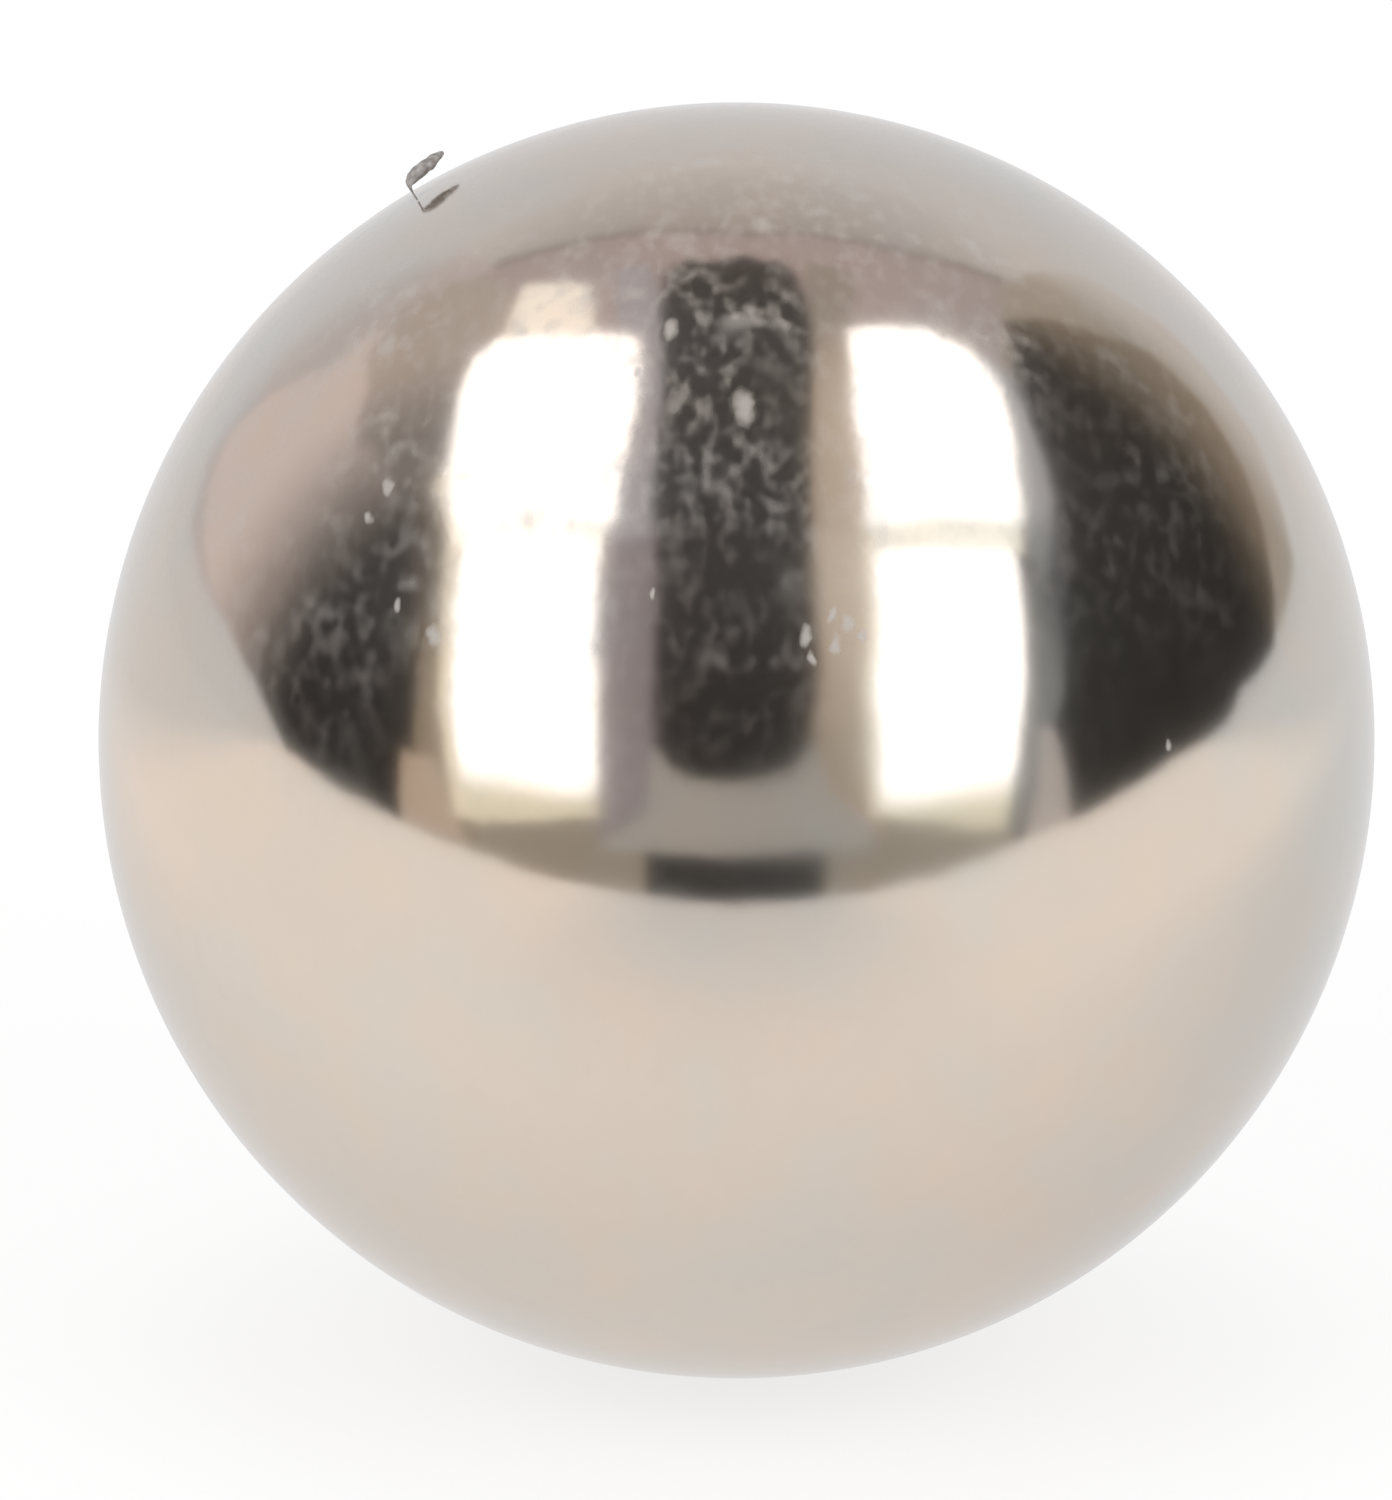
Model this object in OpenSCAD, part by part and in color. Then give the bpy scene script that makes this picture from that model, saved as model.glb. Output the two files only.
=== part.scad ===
// Sphere magnet: one solid ball of sintered neodymium magnet, ground round and
// then finished all over in bright nickel. It has no bore, flat or seam.
// The origin is the centre of the ball. The poles lie on the Z axis, one at the
// top and one at the bottom.

/* [Ball] */
// Diameter over the plating
ball_d = 12.7; // [3:0.1:50]

/* [Hidden] */
// Facets round the ball in a preview
$fn = 96;
// Bright nickel, slightly warm
nickel_color = [0.83, 0.80, 0.75];

// The ball, round to within a few hundredths of a millimetre all over
module magnet_ball() {
    color(nickel_color)
        sphere(d = ball_d);
}

magnet_ball();
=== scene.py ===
import math

import bpy
from mathutils import Matrix, Vector


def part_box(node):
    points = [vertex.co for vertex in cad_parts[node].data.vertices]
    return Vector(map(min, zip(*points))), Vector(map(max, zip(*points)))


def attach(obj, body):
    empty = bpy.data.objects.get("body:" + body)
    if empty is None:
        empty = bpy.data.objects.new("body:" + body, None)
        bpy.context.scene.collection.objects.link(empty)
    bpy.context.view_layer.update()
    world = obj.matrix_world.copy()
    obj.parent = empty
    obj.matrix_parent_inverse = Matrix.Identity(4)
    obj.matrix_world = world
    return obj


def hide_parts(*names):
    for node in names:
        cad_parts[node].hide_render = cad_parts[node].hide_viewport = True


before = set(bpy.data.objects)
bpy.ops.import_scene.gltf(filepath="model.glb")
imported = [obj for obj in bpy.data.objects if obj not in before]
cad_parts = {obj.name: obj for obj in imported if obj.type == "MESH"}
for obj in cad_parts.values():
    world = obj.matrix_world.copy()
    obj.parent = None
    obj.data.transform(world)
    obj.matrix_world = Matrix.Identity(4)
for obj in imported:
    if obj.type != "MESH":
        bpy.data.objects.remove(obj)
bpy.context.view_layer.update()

# ------------------------------------------------------------------------------------------
# Ball. One piece of sintered magnet, ground round between plates like a bearing ball, then
# tumbled and plated all over with copper and bright nickel. The plating keeps a soft orange
# peel, and the handled ball carries a pale film and specks, mostly on top: partly dust, partly
# painted glints and haze of the strip lights in its dark reflections.
# ------------------------------------------------------------------------------------------
node_low, node_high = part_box("magnet_ball")
ball_diameter = node_high.x - node_low.x
ball_radius = ball_diameter / 2
grinding_passes = 7
peel_wave = 0.0009
peel_height = 0.0000045

bpy.ops.object.select_all(action="DESELECT")
bpy.ops.mesh.primitive_cube_add(size=ball_diameter, location=(0, 0, 0))
ball = bpy.context.object
ball.name = "plated_ball"

# Each pass halves the facets of the square blank and rounds it, so no seam or pole is left
bpy.ops.object.mode_set(mode="EDIT")
bpy.ops.mesh.select_all(action="SELECT")
for grinding_pass in range(grinding_passes):
    bpy.ops.mesh.subdivide(number_cuts=1)
    bpy.ops.transform.tosphere(value=1.0)
bpy.ops.object.mode_set(mode="OBJECT")

lapping = ball.modifiers.new("Lapping", "CAST")
lapping.cast_type = "SPHERE"
lapping.factor = 1.0
lapping.use_radius_as_size = False
lapping.size = ball_radius
bpy.ops.object.modifier_apply(modifier=lapping.name)

# The peel only goes inwards, so the ball stays within its diameter
peel_texture = bpy.data.textures.new("orange_peel", type="CLOUDS")
peel_texture.noise_scale = peel_wave
peel_texture.noise_depth = 1
peel = ball.modifiers.new("Orange peel", "DISPLACE")
peel.texture = peel_texture
peel.texture_coords = "LOCAL"
peel.direction = "NORMAL"
peel.mid_level = 1.0
peel.strength = peel_height
bpy.ops.object.modifier_apply(modifier=peel.name)
bpy.ops.object.shade_smooth()


def add_node(material, kind, sockets=None, **settings):
    """A new node of a material, with its settings and the values of its free sockets."""
    node = material.node_tree.nodes.new(kind)
    for setting, value in settings.items():
        setattr(node, setting, value)
    for socket, value in (sockets or {}).items():
        node.inputs[socket].default_value = value
    return node


def connect(material, source, target):
    """A link from one node's output to another node's input."""
    material.node_tree.links.new(source, target)


def calculate(material, operation, first, second):
    """The result for two values, where each is a number or another node's output."""
    step = add_node(material, "ShaderNodeMath", operation=operation)
    for socket, value in zip(step.inputs, (first, second)):
        if isinstance(value, (int, float)):
            socket.default_value = value
        else:
            connect(material, value, socket)
    return step.outputs["Value"]


def noise(material, place, size, detail=2.0):
    """A cloudy value from 0 to 1, with clouds of about the given size in metres."""
    clouds = add_node(material, "ShaderNodeTexNoise", {"Scale": 1 / size, "Detail": detail})
    connect(material, place, clouds.inputs["Vector"])
    return clouds.outputs["Fac"]


def soft_step(material, value, start, end, low=0.0, high=1.0):
    """Low up to the start, high from the end on, and a soft change between them."""
    step = add_node(material, "ShaderNodeMapRange", interpolation_type="SMOOTHSTEP")
    step.inputs["From Min"].default_value = start
    step.inputs["From Max"].default_value = end
    step.inputs["To Min"].default_value = low
    step.inputs["To Max"].default_value = high
    connect(material, value, step.inputs["Value"])
    return step.outputs["Result"]


def distance_from(material, place, point):
    """How far a place, read from another node, is from a fixed point."""
    gap = add_node(material, "ShaderNodeVectorMath", operation="DISTANCE")
    gap.inputs[1].default_value = point
    connect(material, place, gap.inputs[0])
    return gap.outputs["Value"]


def squeezed(material, place, by):
    """The same place with its sideways part made larger, so that what it draws is slimmer."""
    squeeze = add_node(material, "ShaderNodeMapping", {"Scale": (by, 1.0, 1.0)})
    connect(material, place, squeeze.inputs["Vector"])
    return squeeze


def two_tone(material, value, first_end, first_color, second_start, second_color):
    """One colour up to the first end, the other from the second start, and a blend between."""
    tones = add_node(material, "ShaderNodeValToRGB")
    first_stop, second_stop = tones.color_ramp.elements
    first_stop.position = first_end
    first_stop.color = first_color
    second_stop.position = second_start
    second_stop.color = second_color
    connect(material, value, tones.inputs["Fac"])
    return tones.outputs["Color"]


def mix_colors(material, share, first, second):
    """A blend of two colours, where each is a plain colour or another node's output."""
    blend = add_node(material, "ShaderNodeMix", data_type="RGBA")
    connect(material, share, blend.inputs["Factor"])
    for socket_name, color in (("A", first), ("B", second)):
        if isinstance(color, tuple):
            blend.inputs[socket_name].default_value = color
        else:
            connect(material, color, blend.inputs[socket_name])
    return blend.outputs["Result"]


def add_relief(material, value, strength, height, shader):
    """A bump of the given height in metres on a shader, where a value is high."""
    bump = add_node(material, "ShaderNodeBump", {"Strength": strength, "Distance": height})
    connect(material, value, bump.inputs["Height"])
    connect(material, bump.outputs["Normal"], shader.inputs["Normal"])


def towards(azimuth, elevation):
    """The direction from the ball: azimuth 0 is to the front and 90 to the right."""
    turn = math.radians(azimuth)
    rise = math.radians(elevation)
    return Vector((math.sin(turn) * math.cos(rise), -math.cos(turn) * math.cos(rise), math.sin(rise)))


nickel = bpy.data.materials.new("bright_nickel")
nickel.use_nodes = True
nickel_shader = nickel.node_tree.nodes["Principled BSDF"]
on_ball = add_node(nickel, "ShaderNodeTexCoord").outputs["Object"]

# Where the dust and painted glints lie: most on top, a little more to the left, and thinner on the
# right
dust_and_glint_lean = (-0.10, 0, 1)
dust_and_glints_start = 0.12 * ball_radius
dust_and_glints_full = 0.95 * ball_radius
least_dust_and_glints = 0.03
most_dust_and_glints = 0.62
right_thinning_starts = 0.15 * ball_radius
right_thinning_full = 0.60 * ball_radius
left_on_the_right = 0.45

height_on_ball = add_node(nickel, "ShaderNodeVectorMath", operation="DOT_PRODUCT")
height_on_ball.inputs[1].default_value = dust_and_glint_lean
connect(nickel, on_ball, height_on_ball.inputs[0])
up_there = soft_step(
    nickel, height_on_ball.outputs["Value"], dust_and_glints_start, dust_and_glints_full, least_dust_and_glints, most_dust_and_glints
)
sideways = add_node(nickel, "ShaderNodeSeparateXYZ")
connect(nickel, on_ball, sideways.inputs["Vector"])
thinned_on_right = soft_step(nickel, sideways.outputs["X"], right_thinning_starts, right_thinning_full, 1.0, left_on_the_right)
dust_and_glint_spread = calculate(nickel, "MULTIPLY", up_there, thinned_on_right)

# Film and specks of dust, which also stand for painted haze and glints: fine grains, slim and
# upright, and rounder crumbs, both thicker in drifts
dust_and_haze_share = 0.11
grain_size = 0.00026
grain_slimness = 1.5
crumb_size = 0.00040
drift_size = 0.0012


def dust_and_glint_cover(place, size, levels, covers):
    """Dust and painted glints in clouds of a size: the first cover below the levels and the second
    above them.
    """
    return soft_step(nickel, noise(nickel, place, size, 1.0), *levels, *covers)


slim_place = squeezed(nickel, on_ball, grain_slimness).outputs["Vector"]
grains = dust_and_glint_cover(slim_place, grain_size, levels=(0.41, 0.81), covers=(0.0, 0.58))
crumbs = dust_and_glint_cover(on_ball, crumb_size, levels=(0.57, 0.82), covers=(0.0, 0.65))
drifts = dust_and_glint_cover(on_ball, drift_size, levels=(0.35, 0.62), covers=(0.42, 1.1))
bits = calculate(nickel, "ADD", grains, crumbs)
specks = calculate(nickel, "MULTIPLY", calculate(nickel, "MULTIPLY", bits, drifts), dust_and_glint_spread)
dust_and_haze_film = calculate(nickel, "MULTIPLY", dust_and_glint_spread, dust_and_haze_share)

# Motes: a few single bits of pale lint that also stand for painted glints, as azimuth, elevation
# and half height on the ball
lint_and_glint_motes = [
    (1.0, 48.7, 0.00030),
    (-10.8, 57, 0.00020),
    (-14.4, 52, 0.00014),
    (6.9, 27, 0.00017),
    (-30.8, 25, 0.00017),
    (-8.6, 31, 0.00008),
    (42.9, 13, 0.00010),
    (-35.7, 27, 0.00010),
    (-42.2, 37, 0.00016),
    (-43.0, 34, 0.00011),
    (9.6, 28.9, 0.00012),
    (11.2, 28.0, 0.00015),
    (9.8, 26.2, 0.00014),
    (7.4, 25.0, 0.00010),
    (12.6, 26.9, 0.00010),
]
mote_slimness = 1.9
mote_core = 0.2
mote_thickness = 0.8
fray_size = 0.00016
fray_reach = 0.00012

# The fray moves each place by up to its reach, so half of the reach is taken off again
frayed = add_node(nickel, "ShaderNodeTexNoise", {"Scale": 1 / fray_size, "Detail": 1.0})
connect(nickel, on_ball, frayed.inputs["Vector"])
fray = add_node(nickel, "ShaderNodeVectorMath", operation="SCALE")
fray.inputs["Scale"].default_value = fray_reach
connect(nickel, frayed.outputs["Color"], fray.inputs[0])
frayed_place = add_node(nickel, "ShaderNodeVectorMath", operation="ADD")
connect(nickel, on_ball, frayed_place.inputs[0])
connect(nickel, fray.outputs["Vector"], frayed_place.inputs[1])
mote_map = squeezed(nickel, frayed_place.outputs["Vector"], mote_slimness)
mote_map.inputs["Location"].default_value = (
    -mote_slimness * fray_reach / 2, -fray_reach / 2, -fray_reach / 2
)
dust_and_glints = calculate(nickel, "ADD", specks, dust_and_haze_film)
for mote_side, mote_height, mote_size in lint_and_glint_motes:
    mote_place = towards(mote_side, mote_height) * ball_radius
    mote_place.x *= mote_slimness
    from_mote = distance_from(nickel, mote_map.outputs["Vector"], mote_place)
    mote = soft_step(nickel, from_mote, mote_core * mote_size, mote_size, mote_thickness, 0.0)
    dust_and_glints = calculate(nickel, "MAXIMUM", dust_and_glints, mote)

# Colour: the plating runs from a warm to a cool nickel in broad patches, under the dust and
# the painted glints
warm_nickel = (0.700, 0.612, 0.528, 1)
cool_nickel = (0.648, 0.618, 0.566, 1)
dust_and_glint_color = (0.50, 0.475, 0.44, 1)
patch_size = 0.0045
patch_share = 0.6
blotch_size = 0.0011
blotch_share = 0.4
warm_up_to = 0.34
cool_from = 0.66

broad = calculate(nickel, "MULTIPLY", noise(nickel, on_ball, patch_size, 3.0), patch_share)
blotches = calculate(nickel, "MULTIPLY", noise(nickel, on_ball, blotch_size), blotch_share)
patches = calculate(nickel, "ADD", broad, blotches)
tone = two_tone(nickel, patches, warm_up_to, warm_nickel, cool_from, cool_nickel)
connect(nickel, mix_colors(nickel, dust_and_glints, tone, dust_and_glint_color), nickel_shader.inputs["Base Color"])
connect(nickel, calculate(nickel, "SUBTRACT", 1.0, dust_and_glints), nickel_shader.inputs["Metallic"])

# Gloss: a mirror, a little dulled where it has been handled
handled_size = 0.0022
clean_up_to = 0.35
handled_from = 0.75
least_rough = 0.105
most_rough = 0.135

handled = noise(nickel, on_ball, handled_size, 4.0)
rough = soft_step(nickel, handled, clean_up_to, handled_from, least_rough, most_rough)
connect(nickel, rough, nickel_shader.inputs["Roughness"])

# Relief: a very fine grain all over, and the specks stand a little proud
plating_grain_size = 0.00022
plating_grain_share = 0.30
relief_height = 0.0000009

plating_noise = noise(nickel, on_ball, plating_grain_size, 1.0)
plating_grain = calculate(nickel, "MULTIPLY", plating_noise, plating_grain_share)
relief = calculate(nickel, "ADD", specks, plating_grain)
add_relief(nickel, relief, 1.0, relief_height, nickel_shader)

ball.data.materials.append(nickel)
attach(ball, "root")
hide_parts("magnet_ball")

# ------------------------------------------------------------------------------------------
# Steel filing. A curled sliver of soft steel from the bench, which the magnet has picked up.
# It stands on one end high on the left and lies over along the ball, held by the pull alone.
# ------------------------------------------------------------------------------------------
lens_elevation = 18
to_lens = towards(0, lens_elevation)
picture_right = Vector((1, 0, 0))
picture_up = to_lens.cross(picture_right)

# Where it stands: the turn round the outline as the lens sees it, and how far in front of it
filing_turn = math.radians(120.6)
filing_front = math.radians(12.2)
filing_slant = math.radians(48)
outward = picture_right * math.cos(filing_turn) + picture_up * math.sin(filing_turn)
round_outline = picture_right * math.sin(filing_turn) - picture_up * math.cos(filing_turn)
foot_normal = outward * math.cos(filing_front) + to_lens * math.sin(filing_front)
away = foot_normal.cross(round_outline)
along = round_outline * math.cos(filing_slant) + away * math.sin(filing_slant)
across = foot_normal.cross(along)

# Each station: along the ball, above the ball, lean from upright in degrees, thickness
filing_stations = [
    (0.000000, -0.000015, -6, 0.000012),
    (-0.000004, 0.000050, -3, 0.000012),
    (-0.000004, 0.000105, 6, 0.000016),
    (0.000006, 0.000150, 35, 0.000036),
    (0.000036, 0.000176, 65, 0.000080),
    (0.000100, 0.000192, 81, 0.000118),
    (0.000190, 0.000198, 88, 0.000140),
    (0.000310, 0.000197, 91, 0.000144),
    (0.000440, 0.000192, 93, 0.000130),
    (0.000570, 0.000186, 93, 0.000100),
    (0.000690, 0.000180, 92, 0.000040),
]
filing_sides = 10
filing_width_to_thickness = 1.5
rounding_levels = 2
tear_size = 0.00005
tear_depth = 0.00003

bpy.ops.object.select_all(action="DESELECT")
last_along, last_above, last_lean, last_thickness = filing_stations[0]
bpy.ops.mesh.primitive_circle_add(
    vertices=filing_sides,
    radius=last_thickness / 2,
    fill_type="NGON",
    location=(last_along, 0, last_above),
)
filing = bpy.context.object
filing.name = "steel_filing"
bpy.ops.object.mode_set(mode="EDIT")
bpy.ops.mesh.select_all(action="SELECT")
for next_along, next_above, next_lean, next_thickness in filing_stations[1:]:
    step = (next_along - last_along, 0, next_above - last_above)
    bend = math.radians(next_lean - last_lean)
    growth = next_thickness / last_thickness
    middle = (next_along, 0, next_above)
    bpy.ops.mesh.extrude_region_move(TRANSFORM_OT_translate={"value": step})
    bpy.ops.transform.rotate(value=-bend, orient_axis="Y", center_override=middle)
    bpy.ops.transform.resize(value=(growth, growth, growth), center_override=middle)
    last_along, last_above = next_along, next_above
    last_lean, last_thickness = next_lean, next_thickness
bpy.ops.mesh.select_all(action="SELECT")
bpy.ops.transform.resize(value=(1, filing_width_to_thickness, 1), center_override=(0, 0, 0))
bpy.ops.mesh.normals_make_consistent(inside=False)
bpy.ops.object.mode_set(mode="OBJECT")

rounding = filing.modifiers.new("Rounding", "SUBSURF")
rounding.levels = rounding_levels
rounding.render_levels = rounding_levels
bpy.ops.object.modifier_apply(modifier=rounding.name)
torn_texture = bpy.data.textures.new("torn_steel", type="CLOUDS")
torn_texture.noise_scale = tear_size
tearing = filing.modifiers.new("Tearing", "DISPLACE")
tearing.texture = torn_texture
tearing.texture_coords = "LOCAL"
tearing.strength = tear_depth
bpy.ops.object.modifier_apply(modifier=tearing.name)
bpy.ops.object.shade_smooth()

foot = foot_normal * ball_radius
standing = Matrix((along, across, foot_normal)).transposed().to_4x4()
filing.matrix_world = Matrix.Translation(foot) @ standing
bpy.ops.object.transform_apply(location=True, rotation=True, scale=True)

# Dull grey steel with darker scale on it, rougher where it is pale
dark_steel = (0.28, 0.26, 0.245, 1)
pale_steel = (0.50, 0.48, 0.46, 1)
dark_up_to = 0.4
pale_from = 0.65
bare_metal_share = 0.3
smooth_up_to = 0.3
rough_from = 0.7
least_rough_steel = 0.5
most_rough_steel = 0.75
scale_size = 0.00008
scale_height = 0.00001
scale_strength = 0.6

dull_steel = bpy.data.materials.new("dull_steel")
dull_steel.use_nodes = True
steel_shader = dull_steel.node_tree.nodes["Principled BSDF"]
steel_shader.inputs["Metallic"].default_value = bare_metal_share
on_filing = add_node(dull_steel, "ShaderNodeTexCoord").outputs["Object"]
steel_scale = noise(dull_steel, on_filing, scale_size)
steel_tone = two_tone(dull_steel, steel_scale, dark_up_to, dark_steel, pale_from, pale_steel)
connect(dull_steel, steel_tone, steel_shader.inputs["Base Color"])
steel_rough = soft_step(
    dull_steel, steel_scale, smooth_up_to, rough_from, least_rough_steel, most_rough_steel
)
connect(dull_steel, steel_rough, steel_shader.inputs["Roughness"])
add_relief(dull_steel, steel_scale, scale_strength, scale_height, steel_shader)

filing.data.materials.append(dull_steel)
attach(filing, "root")

# ------------------------------------------------------------------------------------------
# White table sheet. Card that the ball lies on. It ends a short way in front of the ball and
# runs out of sight to the back and the sides.
# ------------------------------------------------------------------------------------------
# Its front edge and its reach, in radii of the ball
table_edge = [(-110, -8), (-9, -8.3), (-4, -7.0), (0, -6.4), (4, -6.8), (9, -8.5), (110, -8)]
table_reach = 110


def flat_shape(name, corners):
    """A filled outline through the given corners, as part of the studio."""
    bpy.ops.object.select_all(action="DESELECT")
    bpy.ops.mesh.primitive_circle_add(vertices=len(corners), radius=1.0, fill_type="NGON")
    shape = bpy.context.object
    shape.name = name
    for vertex, corner in zip(shape.data.vertices, corners):
        vertex.co = corner
    return shape


table_corners = [(x * ball_radius, y * ball_radius, -ball_radius) for x, y in table_edge]
table_corners.append((table_reach * ball_radius, table_reach * ball_radius, -ball_radius))
table_corners.append((-table_reach * ball_radius, table_reach * ball_radius, -ball_radius))
table = flat_shape("table_sheet", table_corners)

card_white = (0.95, 0.95, 0.95, 1)
card_seen = (1.04, 1.04, 1.04, 1)
card_painted_shade = (0.79, 0.80, 0.82, 1)
card_painted_light = (1.09, 1.025, 0.975, 1)
glow_share = 0.8
glow_share_at_foot = 0.68
foot_shadow_core = 0.1 * ball_radius
foot_shadow_end = 1.3 * ball_radius

card = bpy.data.materials.new("white_card")
card.use_nodes = True
card.node_tree.nodes.remove(card.node_tree.nodes["Principled BSDF"])
card_face = add_node(card, "ShaderNodeBsdfDiffuse", {"Color": card_white})
card_path = add_node(card, "ShaderNodeLightPath").outputs
card_place = add_node(card, "ShaderNodeTexCoord").outputs["Object"]

# Most of the card's white is its own glow, less of it close to the foot of the ball, so that
# the soft shadow of the ball stays on it
foot_of_ball = (0, 0, -ball_radius)
from_contact = distance_from(card, card_place, foot_of_ball)
foot_share = soft_step(
    card, from_contact, foot_shadow_core, foot_shadow_end, glow_share_at_foot, glow_share
)
seen_share = calculate(card, "MULTIPLY", card_path["Is Camera Ray"], foot_share)
card_mirrored = calculate(card, "MAXIMUM", card_path["Is Glossy Ray"], card_path["Is Transmission Ray"])
mirrored_share = calculate(card, "MULTIPLY", card_mirrored, glow_share)
card_share = calculate(card, "MAXIMUM", seen_share, mirrored_share)

# In the mirror of the ball the card carries painted light and shade: a warm painted pool of light
# beside it, and cooler, dimmer painted shade in front of the desk, round the foot of the ball and
# behind it
desk_shade = (0, -6.0 * ball_radius, -ball_radius)
desk_shade_slimness = 1.6
desk_shade_core = 1.5 * ball_radius
desk_shade_end = 5.5 * ball_radius
foot_shade = (0.9 * ball_radius, 2.4 * ball_radius, -ball_radius)
foot_shade_core = 2.1 * ball_radius
foot_shade_end = 4.5 * ball_radius
back_shade_starts = 1.5 * ball_radius
back_shade_full = 4.8 * ball_radius

slim_card_place = squeezed(card, card_place, desk_shade_slimness).outputs["Vector"]
from_desk = distance_from(card, slim_card_place, desk_shade)
clear_of_desk = soft_step(card, from_desk, desk_shade_core, desk_shade_end)
from_foot = distance_from(card, card_place, foot_shade)
clear_of_foot = soft_step(card, from_foot, foot_shade_core, foot_shade_end)
card_depth = add_node(card, "ShaderNodeSeparateXYZ")
connect(card, card_place, card_depth.inputs["Vector"])
in_front = soft_step(
    card, card_depth.outputs["Y"], back_shade_starts, back_shade_full, 1.0, 0.0
)
clear_of_both = calculate(card, "MULTIPLY", clear_of_desk, clear_of_foot)
painted_light_on_card = calculate(card, "MULTIPLY", clear_of_both, in_front)
card_tone = mix_colors(card, painted_light_on_card, card_painted_shade, card_painted_light)
card_color = mix_colors(card, card_path["Is Camera Ray"], card_tone, card_seen)
card_glow = add_node(card, "ShaderNodeEmission", {"Strength": 1.0})
connect(card, card_color, card_glow.inputs["Color"])
card_mix = add_node(card, "ShaderNodeMixShader")
connect(card, card_share, card_mix.inputs["Fac"])
connect(card, card_face.outputs["BSDF"], card_mix.inputs[1])
connect(card, card_glow.outputs["Emission"], card_mix.inputs[2])
connect(card, card_mix.outputs["Shader"], card.node_tree.nodes["Material Output"].inputs["Surface"])
card.cycles.emission_sampling = "NONE"
table.data.materials.append(card)


# ------------------------------------------------------------------------------------------
# Strip lights. Two tall soft lights stand left and right in front and lean back overhead.
# Each has two cloth panes with a thin bar between them, in a frame with pale inner walls.
# ------------------------------------------------------------------------------------------
def board(name, facing, distance, outline, color, strength=1.0, far_color=None, fade=None):
    """A flat board, square on to one direction, with its corners in the given directions.

    It turns into the far colour from the first direction of fade to the second.
    """
    # Where the board is no lamp, its glow is painted light and shade, seen only in the mirror of the
    # ball
    square_on = towards(*facing)

    def on_board(direction):
        ray = towards(*direction)
        return ray * (distance / ray.dot(square_on))

    shape = flat_shape(name, [on_board(direction) for direction in outline])
    shape.visible_camera = False
    shape.visible_diffuse = False
    shape.visible_shadow = False
    paint = bpy.data.materials.new(name)
    paint.use_nodes = True
    paint.node_tree.nodes.remove(paint.node_tree.nodes["Principled BSDF"])
    place = add_node(paint, "ShaderNodeTexCoord").outputs["Object"]
    glow = add_node(paint, "ShaderNodeEmission", {"Color": (*color, 1), "Strength": strength})
    if fade:
        start = on_board(fade[0])
        way = on_board(fade[1]) - start
        from_start = add_node(paint, "ShaderNodeVectorMath", operation="SUBTRACT")
        from_start.inputs[1].default_value = start
        connect(paint, place, from_start.inputs[0])
        along_way = add_node(paint, "ShaderNodeVectorMath", operation="DOT_PRODUCT")
        along_way.inputs[1].default_value = way / way.length_squared
        connect(paint, from_start.outputs["Vector"], along_way.inputs[0])
        faded = soft_step(paint, along_way.outputs["Value"], 0.0, 1.0)
        faded_color = mix_colors(paint, faded, (*color, 1), (*far_color, 1))
        connect(paint, faded_color, glow.inputs["Color"])
    connect(paint, glow.outputs["Emission"], paint.node_tree.nodes["Material Output"].inputs["Surface"])
    paint.cycles.emission_sampling = "NONE"
    shape.data.materials.append(paint)


# The cloth panes, lit from behind, with the bars between them. The low panes fade to cream
light_level = 2.3
cloth = (1.0, 1.0, 1.03)
cream = (0.44, 0.42, 0.34)
cloth_distance = 0.35
bar_distance = 0.37

board(
    "light_left_low", (-48, 22), cloth_distance,
    [(-47.8, -0.9), (-23.7, 2.9), (-27, 23), (-37.2, 50.3), (-69.3, 39.6), (-57.6, 23.7)],
    cloth, light_level, far_color=cream, fade=((-37, 10), (-37, 4)),
)
board(
    "light_left_high", (-80, 62), cloth_distance,
    [
        (-73.2, 40.5), (-36.3, 52.9), (-51, 68.2), (-68, 74), (-100, 76), (-118, 74.5), (-121, 62),
        (-121, 54), (-116, 51), (-105, 49.5), (-97, 48.5), (-91, 46.5), (-80, 42.5),
    ],
    cloth, light_level,
)
board(
    "light_left_bar", (-55, 40), bar_distance,
    [(-72.0, 38.0), (-37, 49), (-36, 55), (-74.5, 41.5)],
    (1.95, 1.93, 1.85),
)
board(
    "light_right_low", (48, 22), cloth_distance,
    [(47.8, -2.4), (25.6, 3.4), (27.4, 23.8), (36.8, 49.8), (69.0, 38.8), (58.7, 23.6)],
    cloth, light_level, far_color=cream, fade=((37, 9), (37, 2)),
)
board(
    "light_right_high", (80, 62), cloth_distance,
    [
        (74.8, 40.8), (38.4, 53.0), (65.1, 70.3), (123.4, 72.3), (122, 60), (117.0, 55.1),
        (107.6, 51.9), (93, 49),
    ],
    cloth, light_level,
)
board(
    "light_right_bar", (55, 40), bar_distance,
    [(70.5, 37.0), (36, 48), (38, 55), (75.5, 41.5)],
    (1.40, 1.38, 1.27),
)

# The cream edge tape of the cloths, on the left light's outer side and the right light's inner
tape_distance = 0.385

board(
    "light_left_tape", (-60, 25), tape_distance,
    [
        (-45, -1), (-50.6, -1), (-61.2, 23.6), (-73.5, 38.3), (-77, 39.8), (-89, 43),
        (-97, 47), (-106, 48.5), (-100, 52), (-60, 36),
    ],
    (1.15, 1.05, 0.87),
)
board(
    "light_right_tape", (48, 22), tape_distance,
    [(23.4, 3.5), (25, 23.8), (34.8, 50.2), (40, 50), (31, 23.8), (28, 3.5)],
    (1.12, 1.06, 0.90),
)

# The inner walls of the frames, towards the gap between the lights, in painted light that fades
# to painted shade on the right
inner_wall_distance = 0.48

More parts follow.
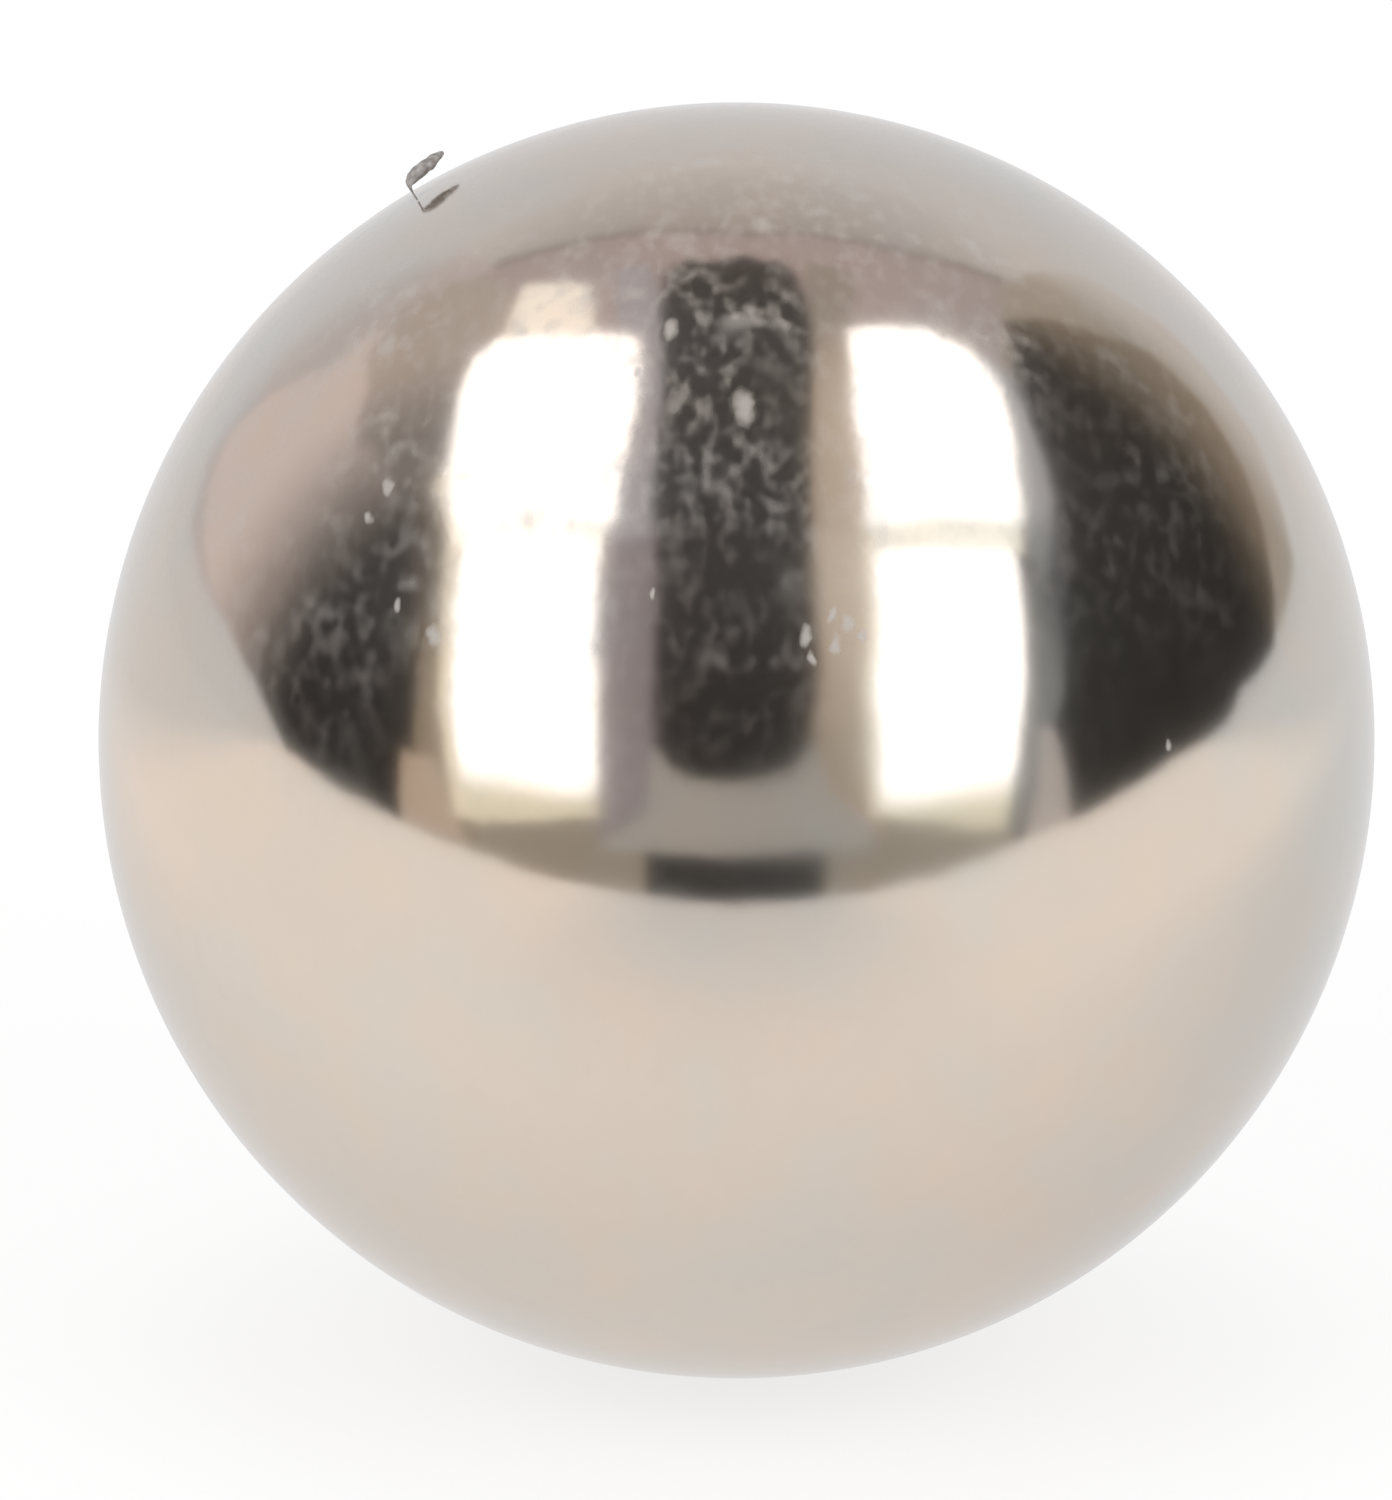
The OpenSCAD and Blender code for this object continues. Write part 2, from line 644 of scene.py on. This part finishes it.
board(
    "frame_left_inner_low", (-24, 30), inner_wall_distance,
    [(-24, -1), (-16, 5), (-15, 24), (-17, 42), (-26, 60), (-42, 56), (-34, 47), (-29, 23)],
    (0.325, 0.295, 0.325),
)
board(
    "frame_left_inner_high", (-60, 68), inner_wall_distance,
    [
        (-17, 42), (-26, 60), (-56, 78), (-126, 78), (-158, 62), (-150, 61), (-122, 71),
        (-56, 65), (-34, 50),
    ],
    (0.48, 0.47, 0.53),
)
board(
    "frame_right_inner_low", (22, 30), inner_wall_distance,
    [
        (26, -1), (17, 8), (15, 13), (14, 24), (17, 42), (24, 61), (50, 60), (38, 46),
        (28, 23),
    ],
    (0.74, 0.625, 0.53), far_color=(0.46, 0.385, 0.31), fade=((21, 44), (19, 11)),
)
board(
    "frame_right_inner_high", (70, 68), inner_wall_distance,
    [
        (17, 42), (24, 61), (52, 78), (129, 78), (162, 63), (150, 62), (123, 71), (65, 67),
        (38, 50),
    ],
    (0.66, 0.55, 0.46), far_color=(0.38, 0.34, 0.31), fade=((60, 70), (140, 68)),
)

# The outer walls of the frames, with their top corners and feet, and the left light's end. The
# walls, corners and feet glow in painted light and painted shade, with fades between them
outer_wall_distance = 0.40
left_corner_distance = 0.42
right_corner_distance = 0.395
frame_foot_distance = 0.38
light_end_distance = 0.36

board(
    "frame_left_outer", (-65, 20), outer_wall_distance,
    [
        (-46, -5), (-55, -4), (-60, 7), (-63, 16), (-73, 30), (-86, 39), (-97, 46), (-97, 50),
        (-60, 23),
    ],
    (0.34, 0.28, 0.21), far_color=(0.085, 0.060, 0.048), fade=((-61, 23), (-70, 22)),
)
board(
    "frame_left_top_corner", (-105, 46), left_corner_distance,
    [
        (-84, 39), (-100, 38), (-112, 33), (-122, 34), (-131, 32), (-139, 32), (-142, 38),
        (-141, 47), (-130, 54), (-121, 54), (-112, 52), (-91, 48),
    ],
    (0.21, 0.19, 0.185), far_color=(0.54, 0.48, 0.45), fade=((-100, 35), (-127, 41)),
)
board(
    "frame_left_foot", (-56, 2), frame_foot_distance,
    [(-48, -5), (-61.5, -4), (-62.7, 7), (-56, 7.3)],
    (0.62, 0.51, 0.42),
)
board(
    "frame_right_outer", (65, 22), outer_wall_distance,
    [
        (47, -2), (55, -5), (60, 11), (64, 15), (73, 28), (88, 38), (102, 47), (111, 50),
        (119, 56), (80, 45), (58, 23),
    ],
    (0.26, 0.27, 0.28), far_color=(0.10, 0.10, 0.11), fade=((61, 24), (75, 26)),
)
board(
    "frame_right_top_corner", (65, 22), right_corner_distance,
    [(66, 29), (74, 33), (85, 39), (101, 46.5), (112, 50), (119, 56), (93, 49), (76, 41)],
    (0.26, 0.27, 0.28), far_color=(0.48, 0.50, 0.55), fade=((71, 32), (84, 41)),
)
board(
    "frame_right_foot", (58, 3), frame_foot_distance,
    [(52, -5.3), (61.4, -4), (60.3, 10.8), (57.4, 12.1)],
    (0.60, 0.56, 0.55),
)
board(
    "light_left_end", (-130, 58), light_end_distance,
    [(-119, 55), (-119, 68), (-141.0, 61), (-139, 51.0)],
    (1.36, 1.30, 1.22),
)

# What the lights throw on the table and on the dust and painted glints, from three soft lamps
# at their places
lamp_distance = 0.45
lamp_size = 0.30
for lamp_name, lamp_side, lamp_height, lamp_power in [
    ("lamp_left", -48, 35, 0.42),
    ("lamp_right", 48, 35, 0.42),
    ("lamp_above", 180, 80, 0.35),
]:
    lamp_data = bpy.data.lights.new(lamp_name, type="AREA")
    lamp_data.shape = "DISK"
    lamp_data.size = lamp_size
    lamp_data.energy = lamp_power
    lamp = bpy.data.objects.new(lamp_name, lamp_data)
    lamp.location = towards(lamp_side, lamp_height) * lamp_distance
    lamp.rotation_euler = lamp.location.to_track_quat("Z", "Y").to_euler()
    lamp.visible_camera = False
    lamp.visible_glossy = False
    bpy.context.scene.collection.objects.link(lamp)

# ------------------------------------------------------------------------------------------
# Dark room. The studio behind the lens, with a desk in front of the table, walls on both
# sides and a ceiling that comes over the ball as far as the white backdrop.
# ------------------------------------------------------------------------------------------
# The room's colours are painted: painted shade where the room is dark, and painted light where the
# lights fall on it
painted_room_shade = (0.024, 0.023, 0.022)
gap_distance = 0.20
room_front_distance = 0.95

# The dark gap between the lights, ragged where it ends over the ball, and the room's far end, both
# in painted shade
board(
    "room_gap", (0, 62), gap_distance,
    [
        (-158, 66), (-167, 64.6), (-173, 66.4), (178, 64.8), (171, 66.6), (167, 65.0),
        (162, 67), (129, 77), (57, 77), (26, 60), (18.5, 42), (15.5, 25), (13.5, 16),
        (10, 12.3), (3, 10.8), (-2, 10.3), (-7, 10.9), (-12, 12.7), (-15, 17), (-16.5, 26),
        (-18.5, 42), (-28, 60), (-60, 77), (-126, 77),
    ],
    painted_room_shade,
)
board(
    "room_front", (0, 0), room_front_distance,
    [(-60, -9), (60, -9), (60, 35), (0, 45), (-60, 35)],
    painted_room_shade,
)

# The walls on both sides in painted light and shade: lit tan on the left fading into painted
# shade, painted shade on the right turning brown towards its end, and their lit far ends
wall_distance = 0.60
wall_end_distance = 0.66

board(
    "room_left", (-95, 20), wall_distance,
    [
        (-50, -6), (-50, 38), (-84, 47), (-100, 52), (-122, 50), (-133, 43), (-137, 34),
        (-134, 25), (-140, 14), (-142, 8), (-138, 6), (-130, 5.5), (-115, 6), (-107, 5.5),
        (-99, 4.6), (-92, 1.5), (-85, -1.6), (-75, -3.5), (-66, -4.8),
    ],
    (0.80, 0.70, 0.68), far_color=painted_room_shade, fade=((-124, 20), (-86, 16)),
)
board(
    "room_left_edge", (-95, 20), wall_end_distance,
    [
        (-104, 6), (-104, 40), (-132, 48), (-146, 42), (-151, 32), (-153, 20), (-153, 11),
        (-149, 4), (-138, 3), (-126, 4.5),
    ],
    (0.62, 0.57, 0.58), far_color=(0.74, 0.74, 0.77), fade=((-138, 20), (-152, 16)),
)
board(
    "room_right", (95, 20), wall_distance,
    [
        (50, -6), (50, 38), (84, 46), (116, 49), (129, 47), (134, 40), (136, 31),
        (138.5, 23), (138, 15), (134.5, 10), (129.5, 7), (126, 5), (122, 3), (118, 0.8),
        (105, 1.4), (97, -1.2), (92, -2.1), (79, -3.8), (70, -4.9),
    ],
    (0.030, 0.028, 0.026), far_color=(0.29, 0.24, 0.19), fade=((113, 24), (136, 20)),
)
board(
    "room_right_edge", (95, 20), wall_end_distance,
    [
        (112, 1.5), (112, 50), (120, 52), (133, 48), (141, 41), (146, 33), (149, 24),
        (149, 12), (145, 5), (134, 1),
    ],
    (0.46, 0.42, 0.37), far_color=(0.68, 0.64, 0.62), fade=((135, 24), (147, 20)),
)

# The ceiling in painted light and the darker rim along its far edge in painted shade
ceiling_distance = 0.62
ceiling_edge_distance = 0.66

board(
    "ceiling", (0, 90), ceiling_distance,
    [
        (-70, 35), (0, 43), (70, 35), (110, 40), (137, 36), (141, 42), (148, 50), (160, 56),
        (179, 59), (-162, 55), (-151, 49), (-145, 43), (-140, 36), (-110, 40),
    ],
    (0.50, 0.43, 0.44),
)
board(
    "ceiling_edge", (0, 90), ceiling_edge_distance,
    [
        (0, 80), (110, 60), (136, 34), (142, 40), (149, 48.5), (161, 54.5), (179, 57.5),
        (-163, 53.5), (-152, 47.5), (-146, 41), (-141, 34), (-110, 60),
    ],
    (0.31, 0.28, 0.27),
)

# The desk in front of the table and its front in painted light, and the dark slot under its top
# in painted shade
desk_distance = 0.70
desk_front_distance = 0.80
desk_slot_distance = 0.66

board(
    "desk", (0, 3), desk_distance,
    [(-24, 16), (24, 16), (24, -2.5), (-24, -2.5)],
    (0.47, 0.46, 0.45),
)
board(
    "desk_front", (0, -3), desk_front_distance,
    [(-52, 3), (52, 3), (52, -12), (-52, -12)],
    (0.37, 0.335, 0.285),
)
board(
    "desk_slot", (0, -5), desk_slot_distance,
    [(-16, -2.6), (15.3, -2.6), (15.3, -12), (-16, -12)],
    (0.026, 0.027, 0.027),
)

# ------------------------------------------------------------------------------------------
# White backdrop. Paper that sweeps up all round behind the ball. The light on it is painted into
# its colour and falls off towards the top, which only the mirror of the ball shows, and the lens
# sees it as white.
# ------------------------------------------------------------------------------------------
# Each tone: how high it is, from 0 at the horizon to 1 overhead, and its colour
paper_tones = [
    (0.0, (0.76, 0.77, 0.79, 1)),
    (0.12, (0.75, 0.76, 0.79, 1)),
    (0.55, (0.72, 0.705, 0.72, 1)),
    (0.90, (0.42, 0.39, 0.38, 1)),
]
paper_seen = (1.0, 1.0, 1.0, 1)

backdrop = bpy.data.worlds.new("white_backdrop")
bpy.context.scene.world = backdrop
backdrop.use_nodes = True
paper = backdrop.node_tree.nodes["Background"]
paper.inputs["Strength"].default_value = 1.0
skyward = add_node(backdrop, "ShaderNodeTexCoord").outputs["Generated"]
paper_heights = add_node(backdrop, "ShaderNodeSeparateXYZ")
connect(backdrop, skyward, paper_heights.inputs["Vector"])
paper_tone = add_node(backdrop, "ShaderNodeValToRGB")
connect(backdrop, paper_heights.outputs["Z"], paper_tone.inputs["Fac"])
paper_stops = paper_tone.color_ramp.elements
paper_stops.remove(paper_stops[1])
lowest_height, lowest_color = paper_tones[0]
paper_stops[0].position = lowest_height
paper_stops[0].color = lowest_color
for tone_height, tone_color in paper_tones[1:]:
    paper_stops.new(tone_height).color = tone_color
paper_path = add_node(backdrop, "ShaderNodeLightPath").outputs
seen_straight = calculate(
    backdrop, "MAXIMUM", paper_path["Is Camera Ray"], paper_path["Is Transmission Ray"]
)
paper_shown = mix_colors(backdrop, seen_straight, paper_tone.outputs["Color"], paper_seen)
connect(backdrop, paper_shown, paper.inputs["Color"])

# ------------------------------------------------------------------------------------------
# Camera. A long lens a little above the table, so the ball's outline is a true circle. Its
# aim and focal length put the ball at its place and size in an upright picture.
# ------------------------------------------------------------------------------------------
picture_width = 1392
picture_height = 1500
ball_in_picture = (736.5, 740.3)
ball_radius_in_picture = 638.2
lens_distance = 0.26
sensor_long_side = 36
nearest_seen = 0.01
farthest_seen = 10

pixels_per_slope = ball_radius_in_picture / math.tan(math.asin(ball_radius / lens_distance))
metres_per_pixel = lens_distance / pixels_per_slope
camera_data = bpy.data.cameras.new("camera")
camera_data.sensor_width = sensor_long_side
camera_data.lens = sensor_long_side * pixels_per_slope / picture_height
camera_data.clip_start = nearest_seen
camera_data.clip_end = farthest_seen
camera = bpy.data.objects.new("camera", camera_data)
bpy.context.scene.collection.objects.link(camera)
aim = -picture_right * ((ball_in_picture[0] - picture_width / 2) * metres_per_pixel)
aim -= picture_up * ((picture_height / 2 - ball_in_picture[1]) * metres_per_pixel)
camera.location = to_lens * lens_distance
camera.rotation_euler = (aim - camera.location).to_track_quat("-Z", "Y").to_euler()
bpy.context.scene.camera = camera
bpy.context.scene.view_settings.view_transform = "Standard"
